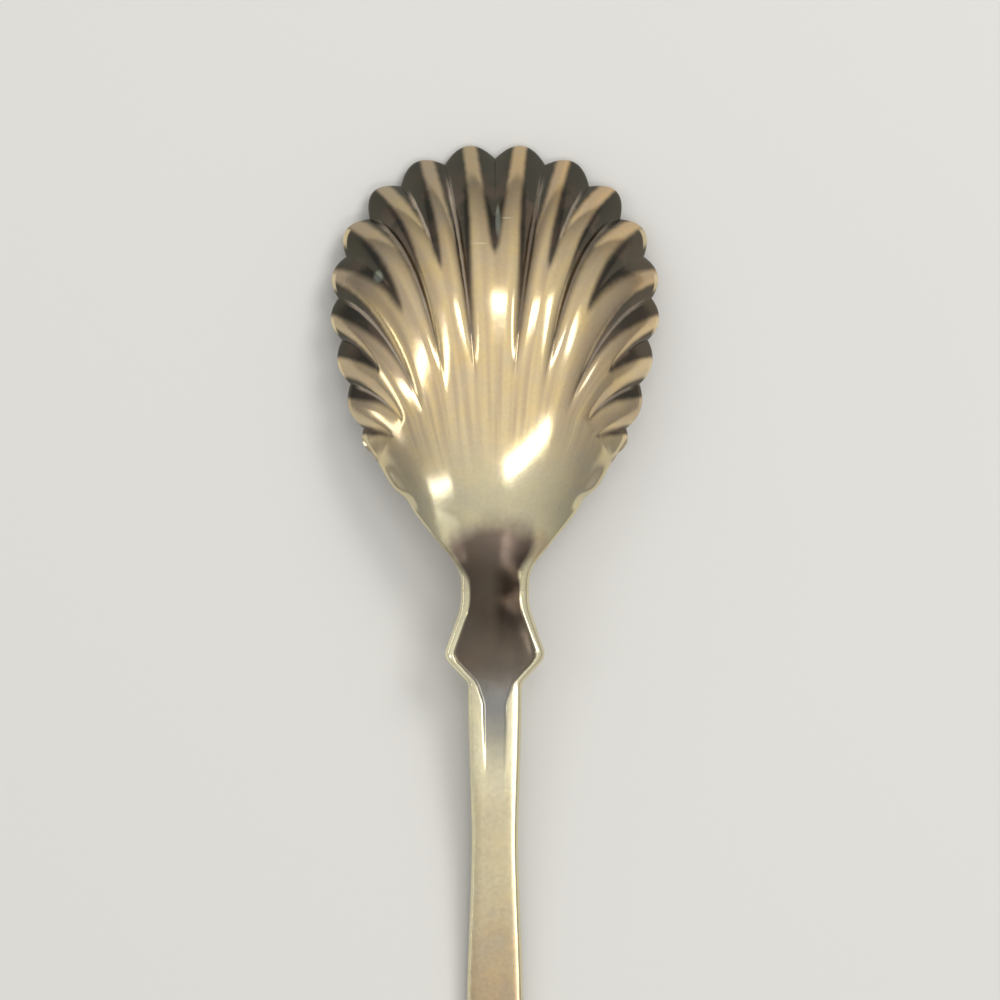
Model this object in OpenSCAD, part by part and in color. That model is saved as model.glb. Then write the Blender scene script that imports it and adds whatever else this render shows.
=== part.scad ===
// Sugar spoon with a fluted shell bowl, lying face down on a table.
// X runs across the spoon, +Y points to the tip of the bowl, +Z is up. The spoon is one strip of metal,
// drawn as four stretches that meet face to face: bowl, neck, stem and handle end.
// Places along the spoon are distances t from the tip of the bowl.

/* [Bowl] */
// Length of the bowl, from its tip to the narrowest place of the neck
bowl_len = 51.6; // [45:0.1:60]
// Width of the bowl over its widest lobes
bowl_w = 37.9; // [32:0.1:44]
// Distance from the tip to the widest place
widest_at = 20; // [17:0.1:23]
// Height of the back of the bowl above its rim
bowl_rise = 9.3; // [7:0.1:11]
// Length in which the sides of the bowl would close behind the widest place
taper_len = 33.5; // [32.5:0.1:40]
// Height of the small scallop in the bowl's edge, between the last lobe and the neck
foot_scallop = 0.3; // [0.1:0.05:0.4]
// Height over which the falling dome blends into the neck
dome_blend = 3; // [2:0.1:3]
// Depth to which the sides of a finger fall away half way along it
finger_round = 0.4; // [0.2:0.05:0.5]
// Thickness of the metal in the bowl
bowl_wall = 1.1; // [0.8:0.05:1.5]
// Height of the rim's edge
rim_edge = 0.75; // [0.5:0.05:1]

/* [Neck] */
// Width of the neck at its waist
waist_w = 7.8; // [7:0.1:9]
// Radius that blends the waist into the sides of the bowl
waist_blend = 1.4; // [1:0.1:3]
// Length of the neck, from the waist to the stem
neck_len = 11; // [9:0.1:14]
// Width over the shoulders
shoulder_w = 11.3; // [10.5:0.1:12.5]
// Radius of the shoulders' corners
shoulder_blend = 1.1; // [0.7:0.1:1.5]
// Radius of the hollow corners above and below the shoulders
neck_blend = 0.4; // [0.3:0.1:0.6]
// Width of the raised border round the sunk panel
border_w = 1.0; // [0.7:0.05:1.3]
// Depth of the sunk panel
panel_sink = 0.2; // [0.1:0.05:0.4]
// Height of the side edge of the neck
neck_edge = 1.7; // [1.4:0.1:2.2]
// Rise of the neck's back between its edges
neck_crown = 0.9; // [0.6:0.1:1.2]
// Hollow under the waist, where the bowl runs out
waist_hollow = 0.5; // [0.3:0.1:0.7]

/* [Stem] */
// Length of the stem
stem_len = 40; // [30:0.5:50]
// Width of the stem below the neck
stem_w = 6.2; // [5.8:0.1:6.8]
// Width of the stem at its narrowest place
stem_waist_w = 5.35; // [5:0.05:5.7]
// Height of the stem's side edge
stem_edge = 1.5; // [1.2:0.1:2]
// Rise of the stem's back between its edges
stem_crown = 0.4; // [0.3:0.1:0.7]

/* [Handle end] */
// Length of the handle's end
end_len = 49.4; // [40:0.1:60]
// Width where the stem runs into the end
end_start_w = 6.6; // [6:0.1:7]
// Greatest width of the end
end_w = 13.4; // [11:0.1:15]
// Length of the rounded tip of the handle
end_round_len = 11; // [8:0.5:14]
// Height of the end's side edge
end_edge = 1.1; // [0.9:0.1:1.5]
// Rise of the end's back between its edges
end_crown = 0.5; // [0.3:0.1:0.8]

/* [Lie on the table] */
// Height that the underside reaches at the waist, seen from the bowl's side
heel_rise = 7.4; // [6:0.1:8]
// Height that the underside reaches at the waist, seen from the handle's side
stem_rise = 6.8; // [6:0.1:8]
// Length over which the two slopes blend
heel_blend = 1.6; // [1:0.1:3]
// Distance from the tip of the handle to the flat that it rests on
rest_back = 30; // [24:0.5:36]
// Length of the flat that the handle rests on
rest_len = 6; // [4:0.5:8]
// Height of the handle's tip above the table
end_rise = 2.6; // [1:0.1:4]

/* [Hidden] */

spoon_len = bowl_len + neck_len + stem_len + end_len;
neck_end = bowl_len + neck_len;
stem_end = neck_end + stem_len;
half_w = bowl_w / 2;
rest_at = spoon_len - rest_back;

// Shape of the bowl's plan and of its dome: 2 is an ellipse, more is fuller
dome_power = 2.3;
// The fall of the dome to the neck: its shape, and the share of the way at which it would reach the edge
fall_power = 2.2;
fall_share = 0.886;
// Shape of the stem's section
stem_power = 4;
// The notches between the lobes on one side, from the tip: shares of half_w and of bowl_len
notch_shares = [[0, 0.029], [0.307, 0.043], [0.577, 0.092], [0.767, 0.166], [0.91, 0.251],
                [0.957, 0.345], [0.933, 0.439], [0.88, 0.538], [0.798, 0.637], [0.742, 0.694]];
// How far each lobe bulges, as a share of the distance between its two notches
lobe_shares = [0.319, 0.31, 0.36, 0.32, 0.24, 0.22, 0.19, 0.18, 0.2];
// Where each groove dies out: share of the half width there, and share of bowl_len
root_shares = [[0, 0.538], [0.12, 0.545], [0.22, 0.556], [0.32, 0.572], [0.41, 0.588],
               [0.5, 0.606], [0.58, 0.617], [0.66, 0.626], [0.76, 0.658], [1, 0.716]];
// The point that each groove bends towards: shares of half_w and of bowl_len
bend_shares = [[0, 0.279], [0.184, 0.245], [0.307, 0.223], [0.454, 0.212], [0.571, 0.284],
               [0.663, 0.383], [0.699, 0.477], [0.693, 0.556], [0.706, 0.642], [0.73, 0.705]];
// Where the small scallop starts, is full, starts to fall, is deepest and ends, as shares of bowl_len, and
// how deep it falls for each length that it rises, and the share of the half width at which the dome joins in
scallop_places = [0.7016, 0.7597, 0.7674, 0.7965, 0.8275];
scallop_fall = 0.8;
scallop_from = 0.55;
// Where each fork starts, as a share of its way out; the odd places are the grooves, which start at once
start_shares = [0.6, 0, 0.52, 0, 0.47, 0, 0.5, 0, 0.12, 0];
lobes = len(lobe_shares);

// How a primary groove and a fork deepen on their way out, as powers of the way
groove_power = 1.15;
fork_power = 0.8;
// Half width of a groove's rounded floor, as a share of a lobe
groove_floor_share = 0.12;

// Where the neck starts to widen, where its shoulders stand and where the stem's width is reached, and
// how far the corner of the shoulders lies beyond their rounded edge
flank_share = 0.153;
// The first share of the neck, over which its panel sinks
sink_share = 0.45;
shoulder_share = 0.69;
drop_share = 0.964;
corner_share = 1.05;
// The stretch of the stem in which it narrows and then widens
narrow_share = 0.5;
widen_share = 0.4;
// Stretch of the handle's end in which the stem's section becomes the end's
end_blend_share = 0.5;
// The handle's rounded tip is cut square where it is this near to closing
tip_share = 0.996;
// Fullness of the sections' spacing towards the side edges
crowd_power = 1.3;
// How late the inside meets the edge's height on its way to the rim
edge_power = 4;

// Steps of the bowl's mesh: in a lobe, up to the grooves' roots, and from there to the rim
lobe_steps = 6;
heel_rows = 12;
flute_rows = 13;
columns = 2 * lobes * lobe_steps;
rows = heel_rows + flute_rows;
// Steps across half of a section of the handle, and distances between its sections
section_steps = 6;
neck_steps = 22;
stem_steps = 16;
end_steps = 26;
tip_steps = 8;
// Small distance for measuring slopes
probe = bowl_wall / 20;

function mix(a, b, s) = a + (b - a) * s;
function clamp01(x) = max(0, min(1, x));
function ease(x) = let (c = clamp01(x)) c * c * (3 - 2 * c);
function smooth_min(a, b, k) = let (h = clamp01(0.5 + (b - a) / (2 * k))) mix(b, a, h) - k * h * (1 - h);
function smooth_max(a, b, k) = -smooth_min(-a, -b, k);
// Value of a table at a place between two of its rows
function at(table, q) = let (k = min(len(table) - 2, floor(q))) mix(table[k], table[k + 1], q - k);
function scaled(shares) = [shares.x * half_w, shares.y * bowl_len];

// Height of the underside above the table, along the middle line
function handle_lie(t) =
    t < rest_at - rest_len / 2
        ? stem_rise * pow((rest_at - rest_len / 2 - t) / (rest_at - rest_len / 2 - bowl_len), 2)
    : t > rest_at + rest_len / 2
        ? end_rise * pow((t - rest_at - rest_len / 2) / (rest_back - rest_len / 2), 2)
    : 0;
function lie(t) = smooth_min(heel_rise * t / bowl_len, handle_lie(t), heel_blend);

// Half width of the bowl's smooth plan, and what the small scallop adds to it at the edge
function smooth_half(t) =
    t < widest_at
        ? half_w * pow(max(0, 1 - pow((widest_at - t) / widest_at, dome_power)), 1 / dome_power)
        : smooth_max(half_w * cos(min(90, 90 * (t - widest_at) / taper_len)), waist_w / 2, waist_blend);
function scallop_step(t, k) =
    ease((t / bowl_len - scallop_places[k]) / (scallop_places[k + 1] - scallop_places[k]));
function scallop(t) =
    foot_scallop * (scallop_step(t, 0) - (1 + scallop_fall) * scallop_step(t, 2)
        + scallop_fall * scallop_step(t, 3));
// Half width of the bowl through the tips of its lobes, and of the section of its dome through x
function bowl_half(t) = smooth_half(t) + scallop(t);
function dome_half(x, t) =
    smooth_half(t) + scallop(t) * ease((abs(x) / smooth_half(t) - scallop_from) / (1 - scallop_from));

// Height of the bowl's edge, and of its smooth dome above that edge
function bowl_edge(t) = mix(rim_edge, neck_edge, ease((t - widest_at) / (bowl_len - widest_at)));
function dome_height(t) =
    let (way = (t - widest_at) / (bowl_len - widest_at) / fall_share)
    smooth_max(bowl_rise * (1 - pow(way, fall_power)), neck_crown, dome_blend);
function dome(x, t) =
    t < widest_at
        ? bowl_rise * (1 - pow(abs(x) / half_w, dome_power) - pow((widest_at - t) / widest_at, dome_power))
        : dome_height(t) * (1 - pow(abs(x) / dome_half(x, t), dome_power));

// Plan of the bowl: q counts lobes from the middle, v runs from a groove's root to the rim
function rim_point(q) =
    let (k = min(lobes - 1, floor(q)), s = q - k)
    let (a = scaled(notch_shares[k]), b = scaled(notch_shares[k + 1]))
    mix(a, b, s) + lobe_shares[k] * 4 * s * (1 - s) * [b.y - a.y, a.x - b.x];
function root_point(q) =
    let (share = at(root_shares, q), t = share.y * bowl_len)
    [share.x * bowl_half(t), t];
function flute_point(q, v) =
    let (a = root_point(q), b = scaled(at(bend_shares, q)), c = rim_point(q))
    a * (1 - v) * (1 - v) + b * 2 * v * (1 - v) + c * v * v;
function heel_point(q, v) =
    let (t = mix(bowl_len, root_point(q).y, v))
    [at(root_shares, q).x * bowl_half(t), t];

// Each finger is an arch between two grooves, split by its fork: the fork's line that is nearest to q, the
// way from it out to the groove, the share of its full depth that a fork has at v, and how far the
// surface lies under the smooth dome
function fork_line(q) = min(lobes - 1, 2 * floor((q + 1) / 2));
function bed(d) = sqrt(d * d + groove_floor_share * groove_floor_share) - groove_floor_share;
function way_out(q) = 1 - bed(1 - min(1, abs(q - fork_line(q)))) / bed(1);
function fork(k, v) = pow(clamp01((v - start_shares[k]) / (1 - start_shares[k])), fork_power);
function groove_share(out, deep, split) =
    deep * out * out + split * (1 - out) * (1 - out) + 2 * deep * split * out * (1 - out);
function sink_depth(q, v) =
    let (out = way_out(q), r = rim_point(q), bow = 4 * v * (1 - v) * min(1, lobes - q))
    dome(r.x, r.y) * groove_share(out, pow(v, groove_power), fork(fork_line(q), v))
    + finger_round * bow * out * out;

// A point of the bowl's back, and the point of its inside below it, in the table's frame
function back_point(p, sink) = [p.x, p.y, lie(p.y) + bowl_edge(p.y) + dome(p.x, p.y) - sink];
function inner_point(p, sink, rim_share) =
    let (gx = (dome(abs(p.x) + probe, p.y) - dome(abs(p.x) - probe, p.y)) / (2 * probe) * sign(p.x))
    let (gt = (dome(p.x, p.y + probe) - dome(p.x, p.y - probe)) / (2 * probe))
    let (slant = sqrt(1 + gx * gx + gt * gt), heel = ease(1 - (bowl_len - p.y) / neck_len))
    let (depth = mix(bowl_wall / slant, bowl_edge(p.y), pow(rim_share, edge_power)))
    let (across = abs(p.x) / max(abs(p.x), bowl_half(p.y)))
    let (section = bowl_edge(p.y) + (neck_crown - waist_hollow) * (1 - pow(across, dome_power)))
    let (shift = bowl_wall / slant * (1 - heel), top = back_point(p, sink))
    [top.x + gx * shift, top.y + gt * shift, top.z - mix(depth, section, heel)];

// From distances along the spoon to the frame with the middle of the spoon's length at zero
function placed(points) = [for (p = points) [p.x, spoon_len / 2 - p.y, p.z]];

function mesh_q(column) = abs(column - columns / 2) / lobe_steps;
function mesh_side(column) = sign(column - columns / 2);
function grid_point(column, row, inner) =
    let (q = mesh_q(column), side = mesh_side(column))
    let (v = max(0, row - heel_rows) / flute_rows)
    let (p = row < heel_rows ? heel_point(q, row / heel_rows) : flute_point(q, v))
    let (sink = sink_depth(q, v))
    let (edge_share = max(v, q / lobes == 1 ? 1 : 0))
    let (plan = [side * p.x, p.y])
    inner ? inner_point(plan, sink, edge_share) : back_point(plan, sink);

// Faces of a closed shell between two grids, each stored row after row
function shell_faces(nc, nr) =
    let (w = nc + 1, n = w * (nr + 1))
    concat(
        [for (r = [0:nr - 1], c = [0:nc - 1], o = [r * w + c])
            each [[o, o + w, o + w + 1], [o, o + w + 1, o + 1]]],
        [for (r = [0:nr - 1], c = [0:nc - 1], o = [n + r * w + c])
            each [[o, o + w + 1, o + w], [o, o + 1, o + w + 1]]],
        [for (c = [0:nc - 1]) each [[c, c + 1, n + c + 1], [c, n + c + 1, n + c]]],
        [for (c = [0:nc - 1], o = [nr * w + c])
            each [[o, n + o + 1, o + 1], [o, n + o, n + o + 1]]],
        [for (r = [0:nr - 1], o = [r * w]) each [[o, n + o, n + o + w], [o, n + o + w, o + w]]],
        [for (r = [0:nr - 1], o = [r * w + nc]) each [[o, n + o + w, n + o], [o, o + w, n + o + w]]]);

// Sizes of the handle's sections
function handle_half(t) =
    t < neck_end ? neck_half((t - bowl_len) / neck_len)
    : t < stem_end ? stem_half(t)
    : end_half(t);
function neck_half(u) =
    let (corner = shoulder_w / 2 * corner_share)
    let (flank = mix(waist_w / 2, corner, (u - flank_share) / (shoulder_share - flank_share)))
    let (drop = mix(corner, stem_w / 2, (u - shoulder_share) / (drop_share - shoulder_share)))
    let (widening = smooth_max(flank, waist_w / 2, neck_blend))
    let (narrowing = smooth_max(drop, stem_w / 2, neck_blend))
    smooth_min(widening, narrowing, shoulder_blend);
function stem_half(t) =
    let (s = (t - neck_end) / stem_len, narrowed = mix(stem_w, stem_waist_w, ease(s / narrow_share)))
    mix(narrowed, end_start_w, ease((s - widen_share) / (1 - widen_share))) / 2;
function end_half(t) =
    let (round_from = spoon_len - end_round_len)
    let (flare = mix(end_start_w, end_w, ease((t - stem_end) / (round_from - stem_end))) / 2)
    t < round_from ? flare : flare * sqrt(1 - pow(tip_share * (t - round_from) / end_round_len, 2));
function by_stretch(t, at_waist, at_stem, at_end) =
    t < neck_end ? mix(at_waist, at_stem, ease((t - bowl_len) / neck_len))
                 : mix(at_stem, at_end, ease((t - stem_end) / (end_len * end_blend_share)));

// Outline of a section of the handle at t: across the back from one edge to the other, then the underside
function back_height(s, t) =
    let (edge = by_stretch(t, neck_edge, stem_edge, end_edge))
    let (crown = by_stretch(t, neck_crown, stem_crown, end_crown))
    edge + crown * (1 - pow(abs(s), by_stretch(t, dome_power, stem_power, stem_power)));
function panel_depth(s, t) =
    let (fade = min(ease((t - bowl_len) / (neck_len * sink_share)), ease((neck_end - t) / border_w)))
    let (inset = (1 - abs(s)) * handle_half(t))
    panel_sink * fade * ease((inset - border_w) / panel_sink);
function under_height(s, t) =
    waist_hollow * (1 - ease((t - bowl_len) / neck_len)) * (1 - pow(abs(s), dome_power));
function across(c) = let (s = c / section_steps) sign(s) * (1 - pow(1 - abs(s), crowd_power));
function section_back(c, t) =
    [across(c) * handle_half(t), t, lie(t) + back_height(across(c), t) - panel_depth(across(c), t)];
function section_under(c, t) = [across(c) * handle_half(t), t, lie(t) + under_height(across(c), t)];

// A stretch of the handle through the sections at the given distances
module stretch(places) {
    last = len(places) - 1;
    span = [-section_steps:section_steps];
    back = [for (i = [last:-1:0], c = span) section_back(c, places[i])];
    under = [for (i = [last:-1:0], c = span) section_under(c, places[i])];
    polyhedron(placed(concat(back, under)), shell_faces(2 * section_steps, last));
}

module bowl() {
    back = [for (r = [0:rows], c = [0:columns]) grid_point(c, r, false)];
    inside = [for (r = [0:rows], c = [0:columns]) grid_point(c, r, true)];
    color([0.78, 0.72, 0.56]) polyhedron(placed(concat(back, inside)), shell_faces(columns, rows));
}

module neck() {
    color([0.36, 0.32, 0.3]) stretch([for (i = [0:neck_steps]) bowl_len + neck_len * i / neck_steps]);
}

module stem() {
    color([0.8, 0.77, 0.66]) stretch([for (i = [0:stem_steps]) neck_end + stem_len * i / stem_steps]);
}

module handle_end() {
    // Sections crowd towards the rounded tip, and the flat that it rests on has one at each of its ends
    round_from = spoon_len - end_round_len;
    flat = [rest_at - rest_len / 2, rest_at + rest_len / 2];
    run = [for (i = [0:end_steps]) mix(stem_end, round_from, i / end_steps)];
    rounding = [for (i = [1:tip_steps]) round_from + end_round_len * sin(90 * i / tip_steps)];
    color([0.8, 0.77, 0.66]) stretch(sorted(concat(run, flat, rounding)));
}

function sorted(list) =
    len(list) < 2 ? list
    : let (pivot = list[0])
      concat(sorted([for (x = list) if (x < pivot) x]), [pivot], sorted([for (x = list) if (x > pivot) x]));

bowl();
neck();
stem();
handle_end();
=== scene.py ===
"""A sugar spoon with a fluted shell bowl lies face down on a pale table.

The spoon is one strip of silver, drawn as four pieces that meet face to face: the bowl, the neck, the stem
and the end of the handle. Places along it are distances t from the tip of the bowl, in millimetres like
every size of the form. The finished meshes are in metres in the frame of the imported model: X runs across,
+Y to the tip of the bowl and +Z up, out of the back of the bowl.
"""

from __future__ import annotations

import logging
import math
from dataclasses import dataclass
from enum import Enum
from typing import Any, Callable, Sequence, Union

import bpy
from mathutils import Matrix, Vector

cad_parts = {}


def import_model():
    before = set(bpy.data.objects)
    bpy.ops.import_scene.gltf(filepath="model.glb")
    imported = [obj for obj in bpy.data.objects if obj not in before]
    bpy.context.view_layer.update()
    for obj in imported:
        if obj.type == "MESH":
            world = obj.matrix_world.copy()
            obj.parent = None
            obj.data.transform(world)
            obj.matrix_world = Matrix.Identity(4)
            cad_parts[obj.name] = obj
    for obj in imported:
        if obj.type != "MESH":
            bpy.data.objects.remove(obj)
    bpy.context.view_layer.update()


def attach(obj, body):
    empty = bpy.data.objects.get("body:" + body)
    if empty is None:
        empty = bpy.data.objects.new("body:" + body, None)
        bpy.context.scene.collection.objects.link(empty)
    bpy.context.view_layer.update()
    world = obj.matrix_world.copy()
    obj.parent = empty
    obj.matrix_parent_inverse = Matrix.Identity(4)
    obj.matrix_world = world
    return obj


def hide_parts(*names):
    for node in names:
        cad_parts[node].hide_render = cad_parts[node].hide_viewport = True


LOG = logging.getLogger("sugar_spoon")
Point = tuple[float, float, float]
Pair = tuple[float, float]
MM = 0.001
MM_PER_M = 1000.0
NECK_ROWS = 72
STEM_ROWS = 90
FLARE_ROWS = 90
TIP_ROWS = 24


def mix(a: float, b: float, share: float) -> float:
    """The value at a share of the way from a to b."""
    return a + (b - a) * share


def clamp01(x: float) -> float:
    """x, kept between 0 and 1."""
    return max(0.0, min(1.0, x))


def ease(x: float) -> float:
    """A soft step from 0 to 1 while x goes from 0 to 1."""
    c = clamp01(x)
    return c * c * (3 - 2 * c)


def smooth_min(a: float, b: float, reach: float) -> float:
    """The smaller of a and b, rounded where they are nearer to each other than reach."""
    h = clamp01(0.5 + (b - a) / (2 * reach))
    return mix(b, a, h) - reach * h * (1 - h)


def between(table: Sequence[Pair], place: float) -> Pair:
    """The pair at a place between two rows of a table.

    Args:
        table: One pair for each whole place.
        place: Where to read the table, from 0 at its first row.

    Returns:
        The pair, mixed from the two nearest rows.
    """
    k = min(len(table) - 2, int(place))
    a, b = table[k], table[k + 1]
    return mix(a[0], b[0], place - k), mix(a[1], b[1], place - k)


@dataclass(frozen=True)
class SpoonForm:
    """The outlines and heights of the spoon, with every size in millimetres."""

    bowl_len: float = 51.6
    bowl_w: float = 37.9
    widest_at: float = 20.0
    bowl_rise: float = 9.3
    taper_len: float = 33.5
    foot_scallop: float = 0.3
    scallop_fall: float = 0.8
    scallop_from: float = 0.88
    finger_round: float = 0.4
    bowl_wall: float = 1.1
    rim_edge: float = 0.75
    waist_w: float = 7.8
    waist_blend: float = 1.4
    neck_len: float = 11.0
    shoulder_w: float = 11.3
    shoulder_blend: float = 1.1
    neck_blend: float = 0.4
    shoulder_reach: float = 1.05
    shoulder_shares: tuple[float, float, float] = (0.153, 0.69, 0.964)
    panel_sink: float = 0.2
    panel_side: float = 0.2
    panel_most_half: float = 4.9
    panel_blend: float = 0.8
    sink_share: float = 0.45
    tongue_end: float = 73.0
    tongue_fade: float = 8.0
    bowl_border: float = 0.55
    neck_border: float = 1.0
    stem_border: float = 1.78
    waist_widening: Pair = (47.6, 4.0)
    stem_widening: Pair = (61.8, 3.2)
    neck_edge: float = 1.7
    neck_crown: float = 0.9
    waist_hollow: float = 0.5
    stem_len: float = 40.0
    stem_w: float = 6.2
    stem_waist_w: float = 5.35
    stem_edge: float = 1.5
    stem_crown: float = 0.4
    stem_power: float = 11.0
    narrow_share: float = 0.5
    widen_share: float = 0.4
    end_len: float = 49.4
    end_start_w: float = 6.6
    end_w: float = 13.4
    end_round_len: float = 11.0
    end_edge: float = 1.1
    end_crown: float = 0.5
    end_round_share: float = 0.996
    end_change_share: float = 0.5
    heel_rise: float = 7.4
    stem_rise: float = 6.8
    heel_blend: float = 1.6
    rest_back: float = 30.0
    rest_len: float = 6.0
    end_rise: float = 2.6
    dome_power: float = 2.3
    dome_blend: float = 3.0
    fall_power: float = 2.2
    fall_share: float = 0.886
    groove_power: float = 1.15
    fork_power: float = 0.8
    floor_share: float = 0.12

    notch_shares: tuple[Pair, ...] = (
        (0, 0.029), (0.307, 0.043), (0.577, 0.092), (0.767, 0.166), (0.91, 0.251),
        (0.957, 0.345), (0.933, 0.439), (0.88, 0.538), (0.798, 0.637), (0.742, 0.694),
    )
    lobe_shares: tuple[float, ...] = (0.319, 0.31, 0.36, 0.32, 0.24, 0.22, 0.19, 0.18, 0.2)
    root_shares: tuple[Pair, ...] = (
        (0, 0.538), (0.12, 0.545), (0.22, 0.556), (0.32, 0.572), (0.41, 0.588),
        (0.5, 0.606), (0.58, 0.617), (0.66, 0.626), (0.76, 0.658), (1, 0.716),
    )
    bend_shares: tuple[Pair, ...] = (
        (0, 0.279), (0.184, 0.245), (0.307, 0.223), (0.454, 0.212), (0.571, 0.284),
        (0.663, 0.383), (0.699, 0.477), (0.693, 0.556), (0.706, 0.642), (0.73, 0.705),
    )
    start_shares: tuple[float, ...] = (0.6, 0, 0.52, 0, 0.47, 0, 0.5, 0, 0.12, 0)
    scallop_places: tuple[float, ...] = (0.7016, 0.7597, 0.7674, 0.7965, 0.8275)

    @property
    def spoon_len(self) -> float:
        """Length from the tip of the bowl to the tip of the handle."""
        return self.bowl_len + self.neck_len + self.stem_len + self.end_len

    @property
    def neck_end(self) -> float:
        """Where the neck meets the stem."""
        return self.bowl_len + self.neck_len

    @property
    def stem_end(self) -> float:
        """Where the stem meets the end of the handle."""
        return self.neck_end + self.stem_len

    @property
    def half_w(self) -> float:
        """Half of the bowl's greatest width."""
        return self.bowl_w / 2

    def lie(self, t: float) -> float:
        """Height of the underside above the table at t, along the middle line.

        Args:
            t: Distance from the tip of the bowl, in millimetres.

        Returns:
            The height, in millimetres.
        """
        rest_at = self.spoon_len - self.rest_back
        flat_from, flat_to = rest_at - self.rest_len / 2, rest_at + self.rest_len / 2
        handle = 0.0
        if t < flat_from:
            handle = self.stem_rise * ((flat_from - t) / (flat_from - self.bowl_len)) ** 2
        elif t > flat_to:
            handle = self.end_rise * ((t - flat_to) / (self.spoon_len - flat_to)) ** 2
        return smooth_min(self.heel_rise * t / self.bowl_len, handle, self.heel_blend)

    def smooth_half(self, t: float) -> float:
        """Half width of the bowl's smooth plan at t.

        Args:
            t: Distance from the tip of the bowl, in millimetres.

        Returns:
            The half width, in millimetres.
        """
        if t < self.widest_at:
            inner = max(0.0, 1 - ((self.widest_at - t) / self.widest_at) ** self.dome_power)
            return self.half_w * inner ** (1 / self.dome_power)
        angle = min(90.0, 90 * (t - self.widest_at) / self.taper_len)
        return -smooth_min(-self.half_w * math.cos(math.radians(angle)), -self.waist_w / 2, self.waist_blend)

    def scallop_step(self, t: float, k: int) -> float:
        """How far t has passed one of the places of the small scallop in the bowl's edge."""
        start, end = self.scallop_places[k], self.scallop_places[k + 1]
        return ease((t / self.bowl_len - start) / (end - start))

    def scallop(self, t: float) -> float:
        """What the small scallop adds to the half width at the bowl's edge."""
        swell, drop, back = (self.scallop_step(t, k) for k in (0, 2, 3))
        return self.foot_scallop * (swell - (1 + self.scallop_fall) * drop + self.scallop_fall * back)

    def bowl_half(self, t: float) -> float:
        """Half width of the bowl at t, through the tips of its lobes."""
        return self.smooth_half(t) + self.scallop(t)

    def dome_half(self, x: float, t: float) -> float:
        """Half width of the section of the dome through x, so that the scallop stays near the edge."""
        half = self.smooth_half(t)
        return half + self.scallop(t) * ease((abs(x) / half - self.scallop_from) / (1 - self.scallop_from))

    def bowl_edge(self, t: float) -> float:
        """Height of the bowl's edge at t."""
        way = (t - self.widest_at) / (self.bowl_len - self.widest_at)
        return mix(self.rim_edge, self.neck_edge, ease(way))

    def dome(self, x: float, t: float) -> float:
        """Height of the smooth dome above the edge.

        Args:
            x: Place across the spoon from its middle line, in millimetres.
            t: Distance from the tip of the bowl, in millimetres.

        Returns:
            The height, in millimetres.
        """
        if t < self.widest_at:
            along = ((self.widest_at - t) / self.widest_at) ** self.dome_power
            return self.bowl_rise * (1 - (abs(x) / self.half_w) ** self.dome_power - along)
        way = (t - self.widest_at) / (self.bowl_len - self.widest_at) / self.fall_share
        fall = self.bowl_rise * (1 - way**self.fall_power)
        height = -smooth_min(-fall, -self.neck_crown, self.dome_blend)
        return height * (1 - (abs(x) / self.dome_half(x, t)) ** self.dome_power)

    def scaled(self, shares: Pair) -> Pair:
        """A pair of shares as a place in the bowl's plan."""
        return shares[0] * self.half_w, shares[1] * self.bowl_len

    def rim_point(self, q: float) -> Pair:
        """The rim at q, which counts the lobes from the middle line.

        Args:
            q: Place among the lobes, counted from the middle line.

        Returns:
            x and t of the place on the right side, in millimetres.
        """
        k = min(len(self.lobe_shares) - 1, int(q))
        s = q - k
        a, b = self.scaled(self.notch_shares[k]), self.scaled(self.notch_shares[k + 1])
        bulge = self.lobe_shares[k] * 4 * s * (1 - s)
        return mix(a[0], b[0], s) + bulge * (b[1] - a[1]), mix(a[1], b[1], s) + bulge * (a[0] - b[0])

    def root_point(self, q: float) -> Pair:
        """Where the flutes of the place q run out on the smooth heel.

        Args:
            q: Place among the lobes, counted from the middle line.

        Returns:
            x and t of the place on the right side, in millimetres.
        """
        share = between(self.root_shares, q)
        t = share[1] * self.bowl_len
        return share[0] * self.bowl_half(t), t

    def flute_point(self, q: float, v: float) -> Pair:
        """A place in the fluted part: v goes from the root of the flutes to the rim.

        Args:
            q: Place among the lobes, counted from the middle line.
            v: Way along the flutes, from 0 at their roots to 1 at the rim.

        Returns:
            x and t of the place on the right side, in millimetres.
        """
        a, b, c = self.root_point(q), self.scaled(between(self.bend_shares, q)), self.rim_point(q)
        at_a, at_b, at_c = (1 - v) ** 2, 2 * v * (1 - v), v * v
        return a[0] * at_a + b[0] * at_b + c[0] * at_c, a[1] * at_a + b[1] * at_b + c[1] * at_c

    def rim_speed(self, q: float) -> float:
        """Millimetres that v covers per unit where it meets the rim."""
        b, c = self.scaled(between(self.bend_shares, q)), self.rim_point(q)
        return 2 * math.hypot(c[0] - b[0], c[1] - b[1])

    def heel_point(self, q: float, v: float) -> Pair:
        """A place on the smooth heel: v goes from the waist to the roots of the flutes."""
        t = mix(self.bowl_len, self.root_point(q)[1], v)
        return between(self.root_shares, q)[0] * self.bowl_half(t), t

    def fork_way(self, q: float, v: float) -> float:
        """How far v has come along the nearest fork, from 0 at its tip to 1 at the rim.

        Args:
            q: Place among the lobes, counted from the middle line.
            v: Way along the flutes, from 0 at their roots to 1 at the rim.

        Returns:
            The way, which is under 0 before the fork begins.
        """
        k = min(len(self.start_shares) - 2, 2 * int((q + 1) / 2))
        start = self.start_shares[k]
        return (v - start) / (1 - start)

    def bed(self, distance: float) -> float:
        """Distance from a groove in lobes, with the groove's floor rounded."""
        return math.hypot(distance, self.floor_share) - self.floor_share

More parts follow.
